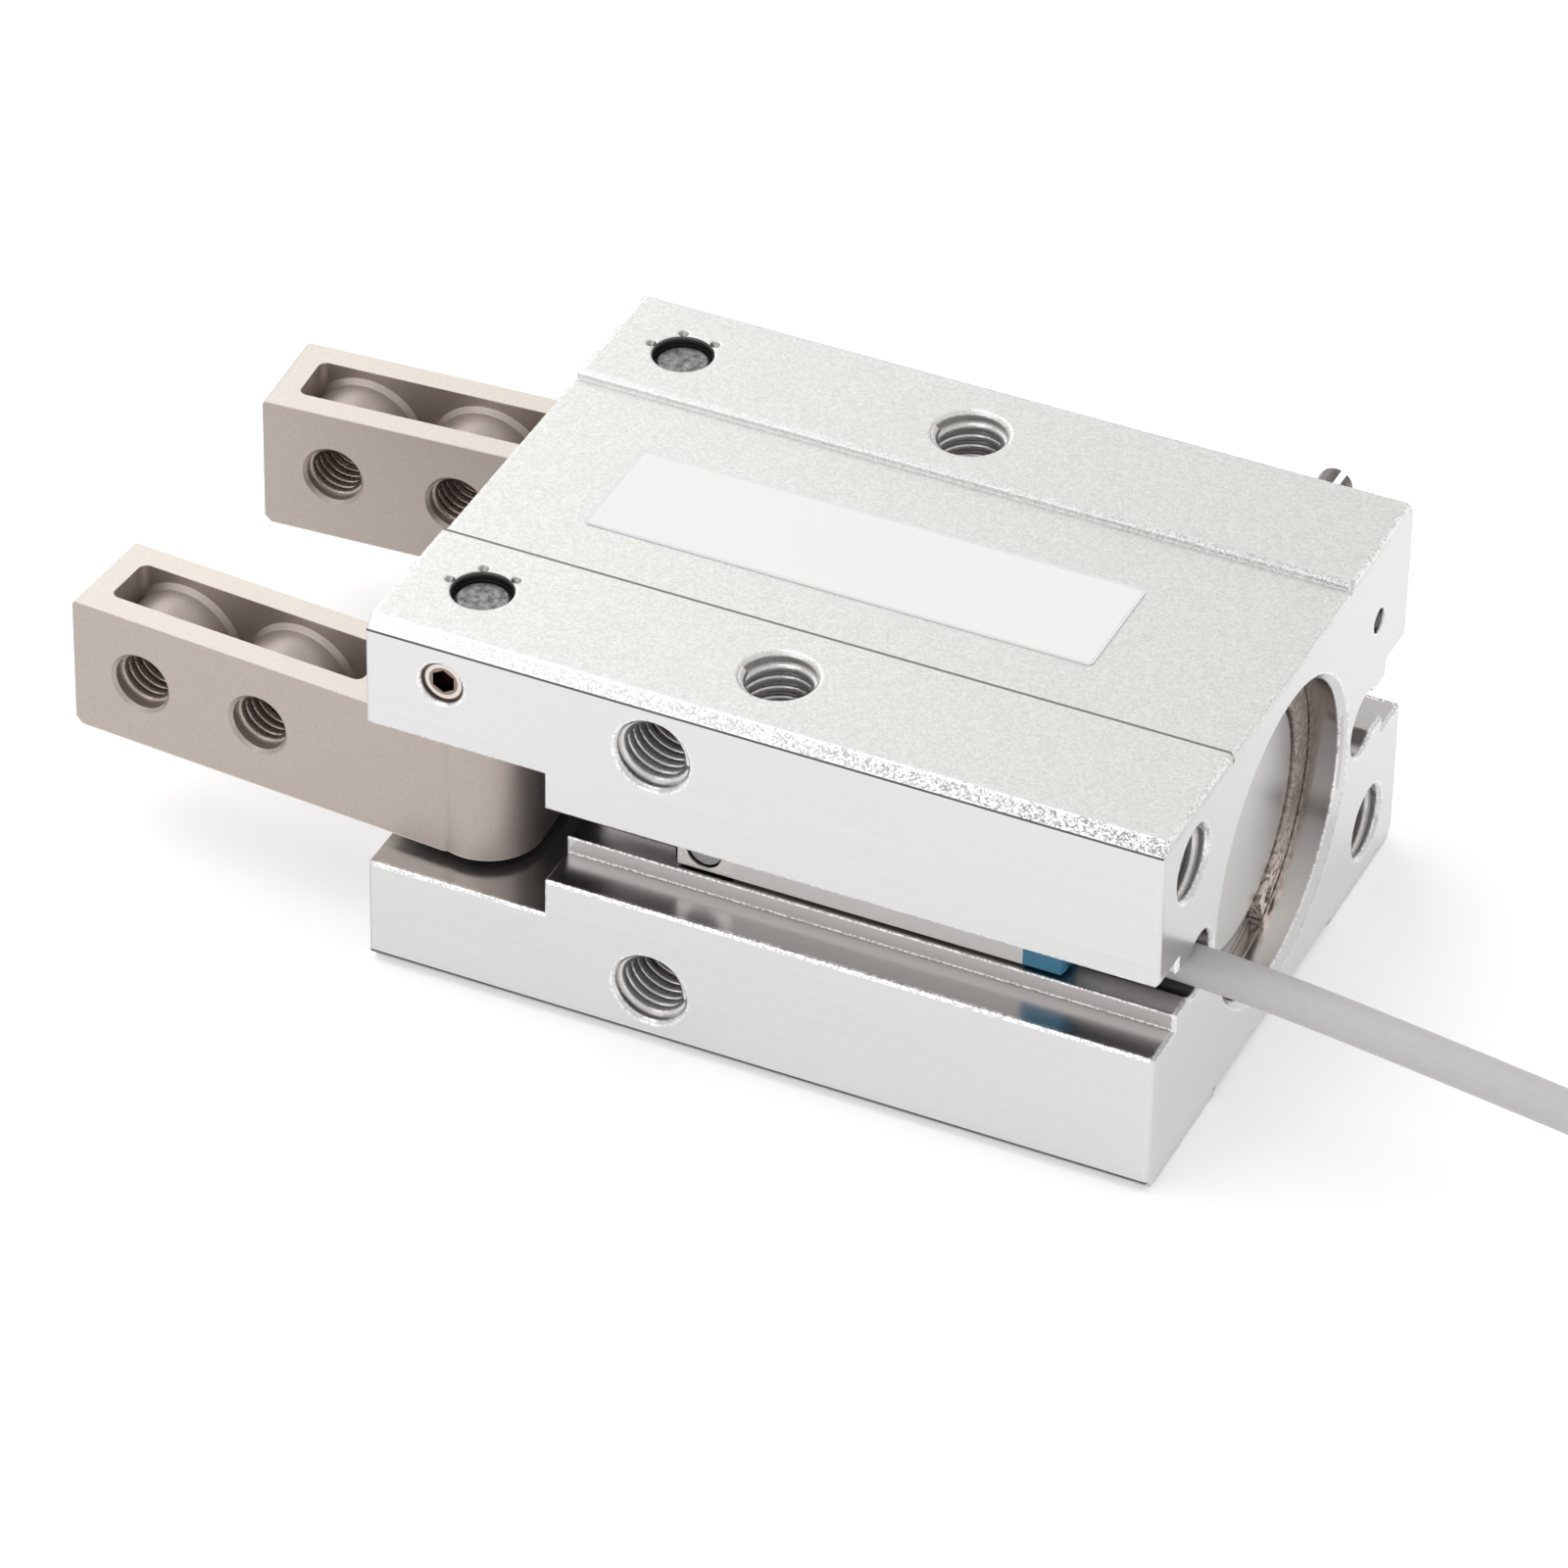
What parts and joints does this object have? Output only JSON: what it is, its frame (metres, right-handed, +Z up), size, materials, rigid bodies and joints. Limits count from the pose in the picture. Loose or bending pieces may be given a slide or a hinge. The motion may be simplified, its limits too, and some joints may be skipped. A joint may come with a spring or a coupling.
{
  "type": "pneumatic angular gripper",
  "caption": "Angular gripper: an air cylinder in a slotted aluminium body swings tapped steel fingers through a roller linkage; a position switch on a lead sits in its side slot.",
  "frame": {"origin": "centre of the body's length and width, on the plane of its two bottom pads", "axes": "+X from the fingers towards the cylinder cap, -Y towards the side with the position switch, +Z up, away from the bottom pads"},
  "size_m": [0.1374, 0.0704, 0.0276],
  "materials": {
    "anodised_body": "bead-blasted, clear anodised",
    "turned_cap": "turned, clear anodised",
    "finger_steel": "sintered, satin warm grey",
    "ground_steel": "ground",
    "spring_steel": "phosphated, brownish",
    "screw_steel": "nickel plated",
    "hardened_steel": "hardened and ground",
    "piston_aluminium": "turned, chromated",
    "seal_rubber": "nitrile, matt",
    "magnet_rubber": "bonded magnet, matt",
    "bumper_rubber": "urethane, satin",
    "switch_resin": "moulded resin, satin",
    "switch_blue": "moulded resin, satin",
    "lead_jacket": "oil-proof vinyl, satin",
    "core_insulation": "vinyl, satin"
  },
  "bodies": {
    "gripper_body": {"body": "anodised_body", "rear_cap": "turned_cap", "retaining_ring": "spring_steel", "cap_seal": "seal_rubber", "rod_seal": "seal_rubber", "cap_bumper": "bumper_rubber", "rod_bumper": "bumper_rubber", "near_pivot_pin": "ground_steel", "far_pivot_pin": "ground_steel", "pivot_set_screws": "screw_steel", "passage_ball": "ground_steel", "needle_screw": "screw_steel", "switch_clip": "screw_steel", "switch_housing": "switch_resin", "switch_end": "switch_blue", "switch_screw": "screw_steel", "lead_tube": "lead_jacket", "lead_coil": "lead_jacket", "lead_cores": "core_insulation"},
    "near_lever": {"near_finger": "finger_steel", "near_roller_pin": "ground_steel"},
    "far_lever": {"far_finger": "finger_steel", "far_roller_pin": "ground_steel"},
    "piston_assembly": {"piston": "piston_aluminium", "piston_rod": "ground_steel", "piston_seal": "seal_rubber", "piston_magnet": "magnet_rubber", "rod_joint": "hardened_steel", "joint_bolt": "screw_steel"},
    "near_side_roller": {"near_roller": "hardened_steel"},
    "far_side_roller": {"far_roller": "hardened_steel"}
  },
  "joints": [
    {"name": "near_finger_hinge", "type": "hinge", "parent": "gripper_body", "child": "near_lever", "pos_m": [-0.0223, -0.015, 0.0138], "axis": [0, 0, 1], "range_deg": [0, 19]},
    {"name": "far_finger_hinge", "type": "hinge", "parent": "gripper_body", "child": "far_lever", "pos_m": [-0.0223, 0.015, 0.0138], "axis": [0, 0, 1], "range_deg": [-19, 0]},
    {"name": "piston_slide", "type": "slide", "parent": "gripper_body", "child": "piston_assembly", "axis": [-1, 0, 0], "range_m": [0, 0.00324]},
    {"name": "near_roller_spin", "type": "hinge", "parent": "near_lever", "child": "near_side_roller", "pos_m": [-0.02068, -0.00533, 0.0138], "axis": [0, 0, 1], "continuous": true},
    {"name": "far_roller_spin", "type": "hinge", "parent": "far_lever", "child": "far_side_roller", "pos_m": [-0.02068, 0.00533, 0.0138], "axis": [0, 0, 1], "continuous": true}
  ],
  "couplings": [
    {"joint": "far_finger_hinge", "follows": "near_finger_hinge", "ratio": -1},
    {"joint": "piston_slide", "follows": "near_finger_hinge", "m_per_rad": 0.009759}
  ]
}
